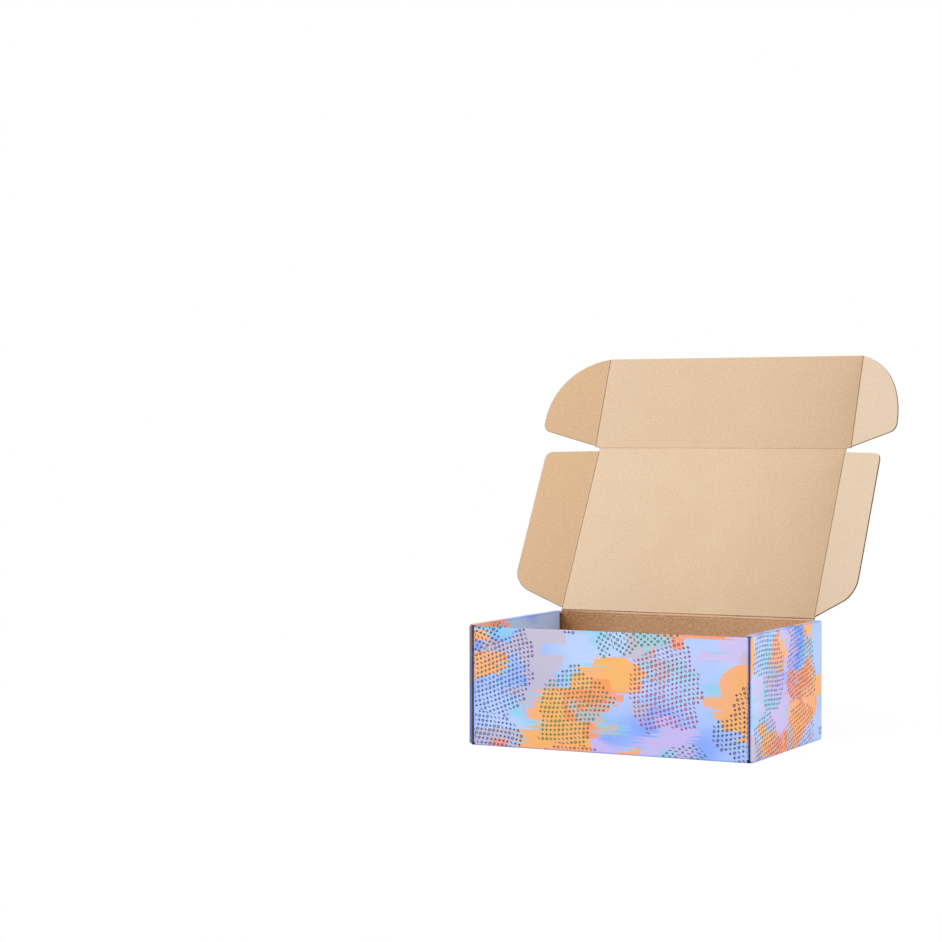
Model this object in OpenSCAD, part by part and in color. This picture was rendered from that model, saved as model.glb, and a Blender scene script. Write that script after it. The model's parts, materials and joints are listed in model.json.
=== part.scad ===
// Corrugated mailer box, lid open: a die-cut blank of fluted board, folded and locked without glue.
// The tray has rolled double side walls whose tabs lock into the floor. The lid carries two side
// flaps and a front flap with two ears, which slide into the rolled walls when the box is shut.
// X runs along the front wall, Y from front to back and Z up, from the middle of the underside.

/* [Board] */
// Thickness of the fluted board
board_t = 1.4; // [1.2:0.1:1.8]
// Thickness of each liner and of the fluted web
liner_t = 0.2; // [0.16:0.02:0.26]
// Distance from one flute to the next
flute_pitch = 3.2; // [2.8:0.1:4]
// Gap between two layers of board that lie on each other
layer_gap = 0.1; // [0.05:0.05:0.2]

/* [Tray] */
// Length outside, from side to side
box_l = 250; // [200:1:320]
// Width outside, from front to back
box_w = 168; // [130:1:220]
// Height outside, with the lid shut
box_h = 101; // [80:1:140]
// Length of the corner flaps held inside the rolled walls
corner_flap_l = 57; // [40:1:62]
// Gap between the back wall and the end of the rolled inner panel
inner_back_gap = 2.5; // [0.5:0.5:6]
// How far the rolled inner panel narrows at each end, top to bottom
inner_taper = 1.5; // [0.5:0.5:6]
// How far the rolled top stops short of the back
roll_back_gap = 1; // [0.5:0.5:4]
// Height of the cut-away below each corner flap
corner_relief = 1; // [0.5:0.5:3]
// Slant of the corner flap's edges, in degrees
corner_slant = 4; // [2:1:8]
// Radius of the corner flap's corners
corner_r = 8; // [3:1:14]

/* [Locking tabs] */
// Width of each tab under the rolled inner panel
tab_w = 34; // [20:1:44]
// Distance of each tab's middle from the middle of the wall
tab_y = 42; // [30:1:50]
// Clearance of a tab in its floor slot
tab_gap = 0.2; // [0.1:0.05:0.4]

/* [Lid] */
// Gap between the shut lid and each rolled wall
lid_gap = 0.3; // [0.2:0.1:1]
// Width of the pressed fold band between back wall and lid
band_w = 2.6; // [2.2:0.1:3.4]
// Width of each side flap, from its fold
side_flap_w = 47.5; // [35:0.5:60]
// Distance of the side flap's near end from the lid's hinge
side_flap_near = 2; // [1.5:0.5:6]
// Slant of the side flap's near edge, in degrees
side_near_slant = 13; // [8:1:20]
// Slant of the side flap's far edge, in degrees
side_far_slant = 17; // [16:1:22]
// Corner radius at the side flap's near end
side_near_r = 19; // [6:1:22]
// Corner radius at the side flap's far end
side_far_r = 9; // [5:1:14]

/* [Front flap and ears] */
// Gap between the shut front flap and the front wall
front_gap = 0.3; // [0.2:0.1:0.8]
// Height of the shut front flap's free edge above the table
front_flap_rise = 11; // [5:1:25]
// Depth of the step where the front flap is wider than the lid
shoulder_h = 1.5; // [1:0.5:3]
// Width of each ear at its widest
ear_w = 50.5; // [35:0.5:54]
// Distance from the lid's front crease to the ear's widest place
ear_crown = 17; // [14:1:24]
// Distance from the lid's front crease to the start of the ear
ear_start = 2.3; // [2:0.1:4]
// Slant of the ear's edge next to the lid, in degrees
ear_slant = 8; // [4:1:12]
// Corner radius of the ear
ear_r = 7; // [4:1:9]
// Clearance of an ear on each side in its slot
ear_gap = 0.12; // [0.1:0.02:0.3]

/* [Open pose] */
// How far the open lid leans back from upright, in degrees
lid_lean = 30; // [20:1:35]
// How far the side flaps are folded in, in degrees
side_flap_rest = 30; // [25:1:35]
// How far the front flap is folded in, in degrees
front_flap_rest = 7; // [4:1:12]
// How far the ears are folded in, in degrees
ear_rest = 25; // [18:1:26]

/* [Hidden] */
$fn = 64;

PRINT = [0.62, 0.72, 0.95];
KRAFT = [0.87, 0.76, 0.62];

half_l = box_l / 2;
half_w = box_w / 2;

// The rolled wall holds, from outside: outer panel, ear slot, corner flap, inner panel.
slot_w = board_t + 2 * ear_gap;
outer_in = half_l - board_t;
slot_in = outer_in - slot_w;
roll_in = slot_in - board_t - layer_gap - board_t;
roll_under = box_h - board_t;

// The front wall stands back behind the front flap; the back wall is the outside of the box.
front_out = -half_w + board_t + front_gap;
front_in = front_out + board_t;
back_in = half_w - board_t;
front_half = slot_in - board_t;
back_half = outer_in - layer_gap - board_t;
under_roll = 2 * layer_gap;
front_top = roll_under - under_roll;
corner_foot = board_t + corner_relief;

// The fold band takes half of the bend at each of its edges, so shut it is a 45 degree chamfer.
edge_gap = layer_gap / 2;
band_mitre = 22.5;
band_run = band_w * sin(45);
hinge_z = box_h - band_run;
mitre_z = hinge_z - edge_gap - board_t * tan(band_mitre);
lid_half = roll_in - lid_gap;
lid_l = box_w - band_run;
side_flap_far = 2 * board_t + front_gap + lid_gap;

// The front flap is as wide as the ears' slots are apart.
flap_half = outer_in - ear_gap;
front_flap_h = box_h - front_flap_rise;

// Channels of the fluted board between its two liners, alternately against one and the other.
flute_base = 0.86 * flute_pitch;
flute_start = 2 * board_t;
arc_inset = layer_gap / 5;

// Rest pose of the chain of folds, each from the one before.
band_tilt = 90 - lid_lean / 2;
lid_tilt = 90 - lid_lean;
lid_hinge = [0, half_w + band_w * cos(band_tilt), hinge_z + band_w * sin(band_tilt)];

function unit(v) = v / norm(v);
// Distance from a corner to the tangent points of its fillet, and the fillet's centre.
function half_angle(p, a, b) = acos(unit(a - p) * unit(b - p)) / 2;
function tangent(p, a, b, r) = p + unit(a - p) * r / tan(half_angle(p, a, b));
function centre(p, a, b, r) = p + unit(unit(a - p) + unit(b - p)) * r / sin(half_angle(p, a, b));

// A convex outline whose corner i has radius radii[i].
module rounded_outline(points, radii) {
    n = len(points);
    polygon([for (i = [0:n - 1])
        let (p = points[i], a = points[(i + n - 1) % n], b = points[(i + 1) % n], r = radii[i])
        each (r == 0 ? [p] : [tangent(p, a, b, r), tangent(p, b, a, r)])]);
    for (i = [0:n - 1])
        if (radii[i] > 0)
            translate(centre(points[i], points[(i + n - 1) % n], points[(i + 1) % n], radii[i]))
                circle(r = radii[i]);
}

// A right-angled fold of the board: a quarter round whose centre is the inner corner. It laps
// a hair into the two panels that it joins, flush with their faces.
module fold(length, turn) {
    lap = layer_gap / 2;
    rotate([0, 0, turn])
        linear_extrude(length) {
            intersection() {
                circle(r = board_t);
                square(board_t);
            }
            polygon([[0, 0], [-lap, 0], [-lap, board_t], [0, board_t], [board_t, 0],
                     [board_t, -lap], [0, -lap]]);
        }
}

// Folds along X, along Y and upright; turn picks the quarter that faces outwards.
module fold_x(x, y, z, length, turn) {
    translate([x, y, z])
        rotate([0, 90, 0])
            fold(length, turn);
}

module fold_y(x, y, z, length, turn) {
    translate([x, y + length, z])
        rotate([90, 0, 0])
            fold(length, turn);
}

module fold_z(x, y, z, length, turn) {
    translate([x, y, z])
        fold(length, turn);
}

// A slab of board upright in the YZ plane, its outline given as [y, z] and its face at x.
module upright_slab(x) {
    translate([x, 0, 0])
        rotate([90, 0, 90])
            linear_extrude(board_t)
                children();
}

module floor_panel() {
    difference() {
        translate([-outer_in, front_in, 0])
            cube([2 * outer_in, back_in - front_in, board_t]);
        for (side = [-1, 1], end = [-1, 1])
            translate([side * (roll_in + board_t / 2), end * tab_y, board_t / 2])
                cube([board_t + 2 * tab_gap, tab_w + 2 * tab_gap, 2 * board_t], center = true);
    }
}

module front_wall() {
    fold_x(-front_half, front_in, board_t, 2 * front_half, -90);
    translate([-front_half, front_out, board_t])
        cube([2 * front_half, board_t, front_top - board_t]);
}

// The back wall's top is mitred for the fold band.
module back_wall() {
    fold_x(-back_half, back_in, board_t, 2 * back_half, 0);
    translate([-back_half, 0, 0])
        rotate([90, 0, 90])
            linear_extrude(2 * back_half)
                polygon([[back_in, board_t], [half_w, board_t], [half_w, hinge_z - edge_gap],
                         [back_in, mitre_z]]);
}

// A corner flap that leaves a wall at y and runs back or forward inside the roll. Its edges
// slant from one board thickness past the fold.
module corner_flap(x, y, way, top) {
    neck = y + way * board_t;
    tip = y + way * corner_flap_l;
    drop = corner_flap_l * tan(corner_slant);
    upright_slab(x)
        rounded_outline([[y, corner_foot], [neck, corner_foot], [tip, corner_foot + drop],
                         [tip, top - drop], [neck, top], [y, top]],
                        [0, 0, corner_r, corner_r, 0, 0]);
    fold_z(x, y, corner_foot, top - corner_foot, way > 0 ? -90 : 0);
}

// The rolled inner panel, narrower at its foot, with two tabs that reach through the floor.
module inner_panel() {
    front = front_in + layer_gap;
    back = back_in - inner_back_gap;
    foot = board_t + layer_gap;
    upright_slab(roll_in) {
        polygon([[front + inner_taper, foot], [back - inner_taper, foot], [back, roll_under],
                 [front, roll_under]]);
        for (end = [-1, 1])
            translate([end * tab_y - tab_w / 2, layer_gap])
                square([tab_w, foot]);
    }
}

module side_wall() {
    roll_l = half_w - roll_back_gap - front_out;
    fold_y(outer_in, front_in, board_t, back_in - front_in, -90);
    translate([outer_in, -half_w, board_t])
        cube([board_t, box_w, roll_under - board_t]);
    fold_y(outer_in, front_out, roll_under, roll_l, 0);
    translate([roll_in + board_t, front_out, roll_under])
        cube([outer_in - roll_in - board_t, roll_l, board_t]);
    fold_y(roll_in + board_t, front_out, roll_under, roll_l, 90);
    inner_panel();
    corner_flap(front_half, front_in, 1, front_top);
    corner_flap(back_half, back_in, -1, mitre_z);
}

module tray() {
    color(PRINT) {
        floor_panel();
        front_wall();
        back_wall();
        side_wall();
        mirror([1, 0, 0])
            side_wall();
    }
}

// Flat panels lie with the printed face down on z = 0 and run along Y from their hinge line.
// The half width, the near end and the far end are mitred by the given angles for their folds.
module mitred_panel(half, length, side_mitre, near_mitre, far_mitre) {
    reach = half + board_t;
    intersection() {
        rotate([90, 0, 0])
            translate([0, 0, -length])
                linear_extrude(length)
                    polygon([[-half + edge_gap, 0], [half - edge_gap, 0],
                             [half - edge_gap - board_t * tan(side_mitre), board_t],
                             [-half + edge_gap + board_t * tan(side_mitre), board_t]]);
        translate([-reach, 0, 0])
            rotate([90, 0, 90])
                linear_extrude(2 * reach)
                    polygon([[edge_gap, 0], [length - edge_gap, 0],
                             [length - edge_gap - board_t * tan(far_mitre), board_t],
                             [edge_gap + board_t * tan(near_mitre), board_t]]);
    }
}

// A flap outline in [u, y], u from its fold line, cut from fluted board with a mitred fold edge.
module fluted_flap(reach, near, far) {
    count = ceil((far - near) / flute_pitch);
    low = liner_t;
    high = board_t - liner_t;
    intersection() {
        difference() {
            linear_extrude(board_t)
                children();
            translate([flute_start, 0, 0])
                rotate([90, 0, 90])
                    linear_extrude(reach)
                        for (i = [0:count])
                            translate([near + i * flute_pitch, 0]) {
                                polygon([[-flute_base / 2, high], [0, low + liner_t],
                                         [flute_base / 2, high]]);
                                translate([flute_pitch / 2, 0])
                                    polygon([[-flute_base / 2, low], [flute_base / 2, low],
                                             [0, high - liner_t]]);
                            }
        }
        translate([0, far, 0])
            rotate([90, 0, 0])
                linear_extrude(far - near)
                    polygon([[edge_gap, 0], [reach, 0], [reach, board_t],
                             [edge_gap + board_t, board_t]]);
    }
}

module side_flap() {
    near = side_flap_near;
    far = lid_l - side_flap_far;
    fluted_flap(side_flap_w + board_t, near, far)
        rounded_outline([[0, near], [side_flap_w, near + side_flap_w * tan(side_near_slant)],
                         [side_flap_w, far - side_flap_w * tan(side_far_slant)], [0, far]],
                        [0, side_near_r, side_far_r, 0]);
}

// The ear's long edge is one arc, widest at ear_crown and meeting the flap's free edge at the
// fold. A small arc of radius ear_r joins it to the slanted edge next to the lid, drawn a hair
// inside the long one, because two tangent arcs would leave a sliver.
module ear_outline() {
    rise = front_flap_h - ear_crown;
    big_r = (ear_w * ear_w + rise * rise) / (2 * ear_w);
    big_c = [ear_w - big_r, ear_crown];
    start = [0, ear_start];
    way = [cos(ear_slant), sin(ear_slant)];
    off = start + ear_r * [-way[1], way[0]] - big_c;
    along = -off * way + sqrt(pow(off * way, 2) - off * off + pow(big_r - ear_r, 2));
    small_c = big_c + off + along * way;
    touch = start + along * way;
    chord = unit(big_c + big_r * unit(small_c - big_c) - touch);
    intersection() {
        translate(big_c)
            circle(r = big_r, $fn = 180);
        polygon([start, touch, touch + big_r * chord, [big_r, front_flap_h], [0, front_flap_h]]);
    }
    translate(small_c)
        circle(r = ear_r - arc_inset);
}

module ear() {
    fluted_flap(ear_w + board_t, ear_start, front_flap_h)
        ear_outline();
}

// The front flap: full width below its shoulders, and the lid's width at the crease.
module front_flap_panel() {
    difference() {
        mitred_panel(flap_half, front_flap_h, 45, 45, 0);
        for (side = [-1, 1])
            translate([side * (lid_half + board_t), 0, 0])
                cube([2 * board_t, 2 * shoulder_h, 4 * board_t], center = true);
    }
}

// Placing: each panel swings about the line on the printed face where it is folded.
module on_lid() {
    translate(lid_hinge)
        rotate([lid_tilt, 0, 0])
            children();
}

module on_front_flap() {
    on_lid()
        translate([0, lid_l, 0])
            rotate([front_flap_rest, 0, 0])
                children();
}

// side is 1 for the right-hand flap and -1 for the left.
module folded_flap(side, half, angle) {
    mirror([side < 0 ? 1 : 0, 0, 0])
        translate([half, 0, 0])
            rotate([0, -angle, 0])
                children();
}

module lid_fold() {
    color(PRINT)
        translate([0, half_w, hinge_z])
            rotate([band_tilt, 0, 0])
                mitred_panel(lid_half, band_w, 0, band_mitre, band_mitre);
}

module lid() {
    color(KRAFT)
        on_lid()
            mitred_panel(lid_half, lid_l, 45, band_mitre, 45);
}

module lid_side_flap_left() {
    color(KRAFT)
        on_lid()
            folded_flap(-1, lid_half, side_flap_rest)
                side_flap();
}

module lid_side_flap_right() {
    color(KRAFT)
        on_lid()
            folded_flap(1, lid_half, side_flap_rest)
                side_flap();
}

module front_flap() {
    color(KRAFT)
        on_front_flap()
            front_flap_panel();
}

module front_flap_ear_left() {
    color(KRAFT)
        on_front_flap()
            folded_flap(-1, flap_half, ear_rest)
                ear();
}

module front_flap_ear_right() {
    color(KRAFT)
        on_front_flap()
            folded_flap(1, flap_half, ear_rest)
                ear();
}

tray();
lid_fold();
lid();
lid_side_flap_left();
lid_side_flap_right();
front_flap();
front_flap_ear_left();
front_flap_ear_right();
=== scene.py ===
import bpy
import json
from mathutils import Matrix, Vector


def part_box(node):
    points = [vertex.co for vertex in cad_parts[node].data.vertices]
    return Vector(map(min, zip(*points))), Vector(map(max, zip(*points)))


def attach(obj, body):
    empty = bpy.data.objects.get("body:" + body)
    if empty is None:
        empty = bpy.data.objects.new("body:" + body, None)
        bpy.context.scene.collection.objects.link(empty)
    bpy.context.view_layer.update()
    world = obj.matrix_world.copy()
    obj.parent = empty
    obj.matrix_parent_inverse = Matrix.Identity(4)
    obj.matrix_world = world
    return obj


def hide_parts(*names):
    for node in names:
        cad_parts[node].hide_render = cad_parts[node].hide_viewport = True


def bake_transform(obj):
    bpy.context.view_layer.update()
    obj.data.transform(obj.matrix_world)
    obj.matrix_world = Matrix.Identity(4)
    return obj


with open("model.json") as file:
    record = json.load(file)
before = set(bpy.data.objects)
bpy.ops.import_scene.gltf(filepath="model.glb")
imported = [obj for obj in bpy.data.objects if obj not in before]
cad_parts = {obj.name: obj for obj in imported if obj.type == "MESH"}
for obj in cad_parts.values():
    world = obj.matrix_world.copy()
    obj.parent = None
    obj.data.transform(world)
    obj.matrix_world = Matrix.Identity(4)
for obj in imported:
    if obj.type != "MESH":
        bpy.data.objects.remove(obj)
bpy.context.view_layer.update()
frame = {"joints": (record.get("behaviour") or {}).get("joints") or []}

import json
import math

import bpy
import numpy as np
from mathutils import Matrix, Vector

# The board, in metres: one fluted layer between two liners.
BOARD = 0.0014
LINER = 0.00024
FLUTE_PITCH = 0.0032
CORE_RECESS = 0.00014
PRESSED_RECESS = 0.0004
FOLD_R = 0.0009
PINCH_R = 0.00005
BESIDE_FOLD = BOARD + 0.0001
CREASE_REACH = 0.002
BEND_REACH = 0.0009
FLUTE_SHEET = 0.0002
FLUTE_STEPS = 10
FLUTE_SHORTEST = 1.3 * CREASE_REACH
WIDTH_STEP = 0.00015

# The blank's folds and walls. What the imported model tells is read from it, and the small gaps
# and the hidden panels repeat its own values.
JOINTS = {j["name"]: j for j in frame["joints"]}
TRAY_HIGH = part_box("tray")[1]
HALF_L = TRAY_HIGH.x
HALF_W = TRAY_HIGH.y
BOX_H = TRAY_HIGH.z
EAR_GAP = 0.00012
LAYER_GAP = 0.0001
FRONT_GAP = 0.0003
LOWER_FOLD = Vector(JOINTS["lid_lower_fold"]["pos_m"])
UPPER_FOLD = Vector(JOINTS["lid_upper_fold"]["pos_m"])
FRONT_FOLD = Vector(JOINTS["front_flap_fold"]["pos_m"])
LID_HALF = JOINTS["side_flap_right_fold"]["pos_m"][0]
FLAP_HALF = JOINTS["ear_right_fold"]["pos_m"][0]
BAND_W = (UPPER_FOLD - LOWER_FOLD).length
LID_L = (FRONT_FOLD - UPPER_FOLD).length
LID_WAY = (FRONT_FOLD - UPPER_FOLD).normalized()
FLAP_WAY = Vector(JOINTS["ear_right_fold"]["axis"])
OUTER_IN = HALF_L - BOARD
SLOT_IN = FLAP_HALF - BOARD - EAR_GAP
ROLL_IN = SLOT_IN - 2 * BOARD - LAYER_GAP
FRONT_OUT = -HALF_W + BOARD + FRONT_GAP
FRONT_IN = FRONT_OUT + BOARD
BACK_IN = HALF_W - BOARD
BACK_SIDE = OUTER_IN - LAYER_GAP
ROLL_BACK = HALF_W - 0.001
FRONT_TOP = BOX_H - BOARD - 2 * LAYER_GAP
CORNER_FOOT = BOARD + 0.001
CORNER_FLAP_L = 0.057
CORNER_SLANT = math.radians(4)
CORNER_R = 0.008
INNER_TAPER = 0.0015
INNER_BACK_GAP = 0.0025
TAB_HALF = 0.017
TAB_Y = 0.042
TAB_GAP = 0.0002

# Outlines of the flaps, from their fold line outwards.
SIDE_W = 0.0475
SIDE_NEAR = 0.002
SIDE_FAR = LID_L - 2 * BOARD - 2 * FRONT_GAP
NEAR_SLANT = math.radians(13)
FAR_SLANT = math.radians(17)
NEAR_R = 0.019
FAR_R = 0.009
FLAP_H = BOX_H - 0.011
SHOULDER_H = 0.0015
EAR_W = 0.0505
EAR_CROWN = 0.017
EAR_START = 0.0023
EAR_SLANT = math.radians(8)
EAR_R = 0.007

# Where the parts lie in the flat blank, along its Y. The rolled side panels have places of
# their own in the print, each with its start and its rise.
BACK_RUN = HALF_W + LOWER_FOLD.z
LID_RUN = BACK_RUN + BAND_W
FLAP_RUN = LID_RUN + LID_L
SIDE_START = {-1: 0.3, 1: 0.31}
SIDE_RISE = {-1: HALF_L + 0.192, 1: HALF_L - 0.425}

X_WAY = Vector((1, 0, 0))


def rest_angle(joint):
    """How far a fold is bent in at rest: its low limit is the full right angle."""
    return math.radians(90 + JOINTS[joint]["range_deg"][0])


# Meshes.

class Board:
    """Collects closed shells of board, with flat-blank coordinates for every vertex."""

    def __init__(self):
        self.verts = []
        self.faces = []
        self.finish = []
        self.blank = []
        self.press = []
        self.count = 0

    def add(self, verts, faces, finish, blank, press=None):
        """Takes in one closed shell. finish picks each face's material by its number."""
        verts = np.asarray(verts, float).reshape(-1, 3)
        self.verts.append(verts)
        self.faces.extend([[i + self.count for i in face] for face in faces])
        self.finish.extend(finish)
        self.blank.append(np.asarray(blank, float).reshape(-1, 2))
        self.press.append(np.zeros(len(verts)) if press is None else np.asarray(press, float).ravel())
        self.count += len(verts)

    def make(self, name, materials):
        """The object, with its blank coordinates as a UV map and its press value, which also carries painted
        light and shade, as an attribute.
        """
        verts = np.concatenate(self.verts)
        mesh = bpy.data.meshes.new(name)
        mesh.from_pydata(verts.tolist(), [], self.faces)
        mesh.update()
        for material in materials:
            mesh.materials.append(material)
        mesh.polygons.foreach_set("material_index", self.finish)
        corners = np.empty(len(mesh.loops), int)
        mesh.loops.foreach_get("vertex_index", corners)
        layer = mesh.uv_layers.new(name="blank")
        layer.data.foreach_set("uv", np.concatenate(self.blank)[corners].ravel())
        press = mesh.attributes.new("press", "FLOAT", "POINT")
        press.data.foreach_set("value", np.concatenate(self.press))
        mesh.shade_smooth()
        mesh.set_sharp_from_angle(angle=SHARP_FROM)
        obj = bpy.data.objects.new(name, mesh)
        bpy.context.scene.collection.objects.link(obj)
        return obj


PRINT, KRAFT, EDGE = 0, 1, 2
# The press value of a vertex: how far a fold has turned the print bluer, or inside a roll, where the print
# is painted lighter as painted light and the kraft painted darker as painted shade.
FOLD_BLUE = 0.8
RIM_BLUE = 0.5
IN_ROLL = -1
SHARP_FROM = math.radians(32)
# Rings of a cut edge between the printed and the kraft face: how deep each lies in the board,
# how far it is set back, and the finish of each band between them. A pressed edge has the
# printed liner bent over it.
CUT = ((LINER, LINER, BOARD - LINER, BOARD - LINER),
       (0, CORE_RECESS, CORE_RECESS, 0),
       (EDGE, EDGE, EDGE, EDGE, EDGE))
PRESSED = ((0.0002, 0.0006, 0.00095, 0.00099, BOARD - LINER, BOARD - LINER),
           (0.00001, 0.00005, 0.0002, PRESSED_RECESS, PRESSED_RECESS, 0),
           (PRINT, PRINT, PRINT, EDGE, EDGE, EDGE, EDGE))


def unit_rows(v):
    """Vectors scaled to length 1."""
    return v / np.maximum(np.linalg.norm(v, axis=-1, keepdims=True), 1e-12)


def cells_of(rows, cols):
    """The cells of a rows by cols grid of points, each as its four corners in order."""
    grid = np.arange(rows * cols).reshape(rows, cols)
    return np.stack([grid[:-1, :-1], grid[1:, :-1], grid[1:, 1:], grid[:-1, 1:]], -1).reshape(-1, 4)


def loop_of(rows, cols):
    """Indices round the border of a rows by cols grid, in order."""
    grid = np.arange(rows * cols).reshape(rows, cols)
    return np.concatenate([grid[0, :-1], grid[:-1, -1], grid[-1, :0:-1], grid[:0:-1, 0]])


def close_shell(board, outer, inner, blank, press=None, rim=CUT):
    """A closed shell of board from two grids of points, rows by cols: its printed face and its
    kraft face. Ring k of the cut edge is outer + depth_k of the way to inner, set back by
    recess_k along the way out of the grid."""
    rows, cols = outer.shape[:2]
    n = rows * cols
    quads = cells_of(rows, cols)
    border = loop_of(rows, cols)
    m = len(border)
    out_way = np.zeros((rows, cols, 3))
    out_way[0] += unit_rows(outer[0] - outer[1])
    out_way[-1] += unit_rows(outer[-1] - outer[-2])
    out_way[:, 0] += unit_rows(outer[:, 0] - outer[:, 1])
    out_way[:, -1] += unit_rows(outer[:, -1] - outer[:, -2])
    one, two = outer.reshape(-1, 3), inner.reshape(-1, 3)
    depths, recesses, bands = rim
    depth = np.array(depths)[:, None, None] / BOARD
    back = np.array(recesses)[:, None, None]
    rings = one[border] + depth * (two - one)[border] - back * out_way.reshape(-1, 3)[border]
    ring_ids = [border] + [2 * n + k * m + np.arange(m) for k in range(len(depths))] + [border + n]
    faces = quads.tolist() + (quads[:, ::-1] + n).tolist()
    finish = [PRINT] * len(quads) + [KRAFT] * len(quads)
    for near, far, band in zip(ring_ids[:-1], ring_ids[1:], bands):
        faces += np.stack([near, np.roll(near, -1), np.roll(far, -1), far], -1).tolist()
        finish += [band] * m
    i, j = max(rows // 2 - 1, 0), max(cols // 2 - 1, 0)
    normal = np.cross(outer[i + 1, j] - outer[i, j], outer[i, j + 1] - outer[i, j])
    if normal @ (outer[i, j] - inner[i, j]) < 0:
        faces = [face[::-1] for face in faces]
    flat = blank.reshape(-1, 2)
    uv = np.concatenate([flat, flat, np.tile(flat[border], (len(depths), 1))])
    mark = np.zeros(2 * n + len(depths) * m)
    if press is not None:
        mark[:2 * n] = np.ravel(press)
    if rim is PRESSED:
        mark[2 * n:2 * n + 3 * m] = RIM_BLUE
    board.add(np.concatenate([one, two, rings.reshape(-1, 3)]), faces, finish, uv, mark)


def fold_path(corners, knots):
    """Rows along a board folded at the corners of a path, by distance along the path. On each
    corner's arc the printed side is centre - r * normal, and the kraft side is pinched to a
    sharp corner. On the straights the kraft side is one board thickness to the left."""
    corners = np.array(corners, float)
    ways = unit_rows(np.diff(corners, axis=0))
    sides = np.stack([-ways[:, 1], ways[:, 0]], -1)
    at = np.concatenate([[0], np.cumsum(np.linalg.norm(np.diff(corners, axis=0), axis=1))])
    straight = np.unique(np.round(np.concatenate(
        [[0, at[-1]], knots, at[1:-1] - BESIDE_FOLD, at[1:-1] + BESIDE_FOLD]), 7))
    clear = np.abs(straight[:, None] - at[None, 1:-1]).min(1) > BESIDE_FOLD - 1e-6
    straight = straight[clear & (straight >= 0) & (straight <= at[-1] + 1e-9)]
    piece = np.clip(np.searchsorted(at, straight, side="right") - 1, 0, len(ways) - 1)
    outer = [corners[piece] + ways[piece] * (straight - at[piece])[:, None]]
    inner = [outer[0] + sides[piece] * BOARD]
    run = [straight]
    share = np.linspace(0, 1, 7)
    for i in range(1, len(corners) - 1):
        before, after = sides[i - 1], sides[i]
        turn = share[:, None] * math.pi / 2
        normal = before * np.cos(turn) + after * np.sin(turn)
        offset = before - ways[i - 1]
        outer.append(corners[i] + offset * FOLD_R - normal * FOLD_R)
        pinch = corners[i] + (before + after) * BOARD
        inner.append(pinch + offset * PINCH_R - normal * PINCH_R)
        run.append(at[i] + (2 * share - 1) * FOLD_R)
    run = np.concatenate(run)
    order = np.argsort(run, kind="stable")
    return run[order], np.concatenate(outer)[order], np.concatenate(inner)[order]


def sweep(board, corners, place, knots, lows, highs, blank_of, inside=0, painted_light_from=math.inf):
    """A board carried along a folded path. Its width at run s goes from low to high, both
    straight between their values at the knots. place turns (path x, path y, across) into a
    point in space, and blank_of gives the flat coordinates for (s, across). The print turns
    bluer by exp(-(d / FOLD_R)^2), d being the way to the nearest fold, and past the run given
    for the roll's inside it lies inside a roll, where the print is painted lighter: painted
    light. inside is the press value of the kraft side: 1 where that side faces the shade inside
    a roll, which is painted on it as painted shade."""
    run, outer, inner = fold_path(corners, knots)
    bends = np.cumsum(np.linalg.norm(np.diff(np.array(corners, float), axis=0), axis=1))[:-1]
    pressed = np.exp(-(np.abs(run[:, None] - bends[None]).min(1) / FOLD_R) ** 2) * FOLD_BLUE
    pressed = np.where(run > painted_light_from, IN_ROLL, pressed)
    press = np.stack([pressed, np.full(len(run), inside)])[..., None] + np.zeros(2)
    across = np.stack([np.interp(run, knots, lows), np.interp(run, knots, highs)], -1)
    outer_grid = place(outer[:, None, 0], outer[:, None, 1], across)
    inner_grid = place(inner[:, None, 0], inner[:, None, 1], across)
    blank = blank_of(run[:, None] + 0 * across, across)
    close_shell(board, outer_grid, inner_grid, blank, press, PRESSED)


def stack(*parts):
    """Coordinates from arrays that are first brought to one shape."""
    return np.stack(np.broadcast_arrays(*parts), -1)


def rounded_polygon(corners, radii, steps=8):
    """Outline with an arc at each corner: centre on the bisector at r / sin(half angle)."""
    outline = []
    n = len(corners)
    for i in range(n):
        p = np.array(corners[i], float)
        if radii[i] == 0:
            outline.append(p)
            continue
        a = unit_rows(np.array(corners[i - 1], float) - p)
        b = unit_rows(np.array(corners[(i + 1) % n], float) - p)
        half = math.acos(np.clip(a @ b, -1, 1)) / 2
        centre = p + unit_rows(a + b) * radii[i] / math.sin(half)
        one = p + a * radii[i] / math.tan(half) - centre
        two = p + b * radii[i] / math.tan(half) - centre
        t0, t1 = math.atan2(one[1], one[0]), math.atan2(two[1], two[0])
        sweep_angle = (t1 - t0 + math.pi) % (2 * math.pi) - math.pi
        for share in np.linspace(0, 1, steps + 1):
            t = t0 + share * sweep_angle
            outline.append(centre + radii[i] * np.array([math.cos(t), math.sin(t)]))
    return np.array(outline)


def mirrored(place):
    """True where place turns (u, d, depth) into space with the handedness swapped."""
    return np.linalg.det(np.stack([place(1, 0, 0), place(0, 1, 0), place(0, 0, 1)]) - place(0, 0, 0)) < 0


def outline_slab(board, outline, low, high, place, blank_of, faces_of):
    """A closed slab between two heights with the same outline: two faces and a plain rim."""
    n = len(outline)
    bottom = place(outline[:, 0], outline[:, 1], np.full(n, low))
    top = place(outline[:, 0], outline[:, 1], np.full(n, high))
    around = np.arange(n)
    nxt = np.roll(around, -1)
    area = np.sum(outline[:, 0] * np.roll(outline[:, 1], -1) - np.roll(outline[:, 0], -1) * outline[:, 1])
    faces = [around[::-1].tolist(), (around + n).tolist()]
    faces += np.stack([around, nxt, nxt + n, around + n], -1).tolist()
    if (area < 0) != mirrored(place):
        faces = [face[::-1] for face in faces]
    finish = [faces_of[0], faces_of[1]] + [EDGE] * n
    blank = blank_of(outline[:, 0], outline[:, 1])
    board.add(np.concatenate([bottom, top]), faces, finish, np.concatenate([blank, blank]))


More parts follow.
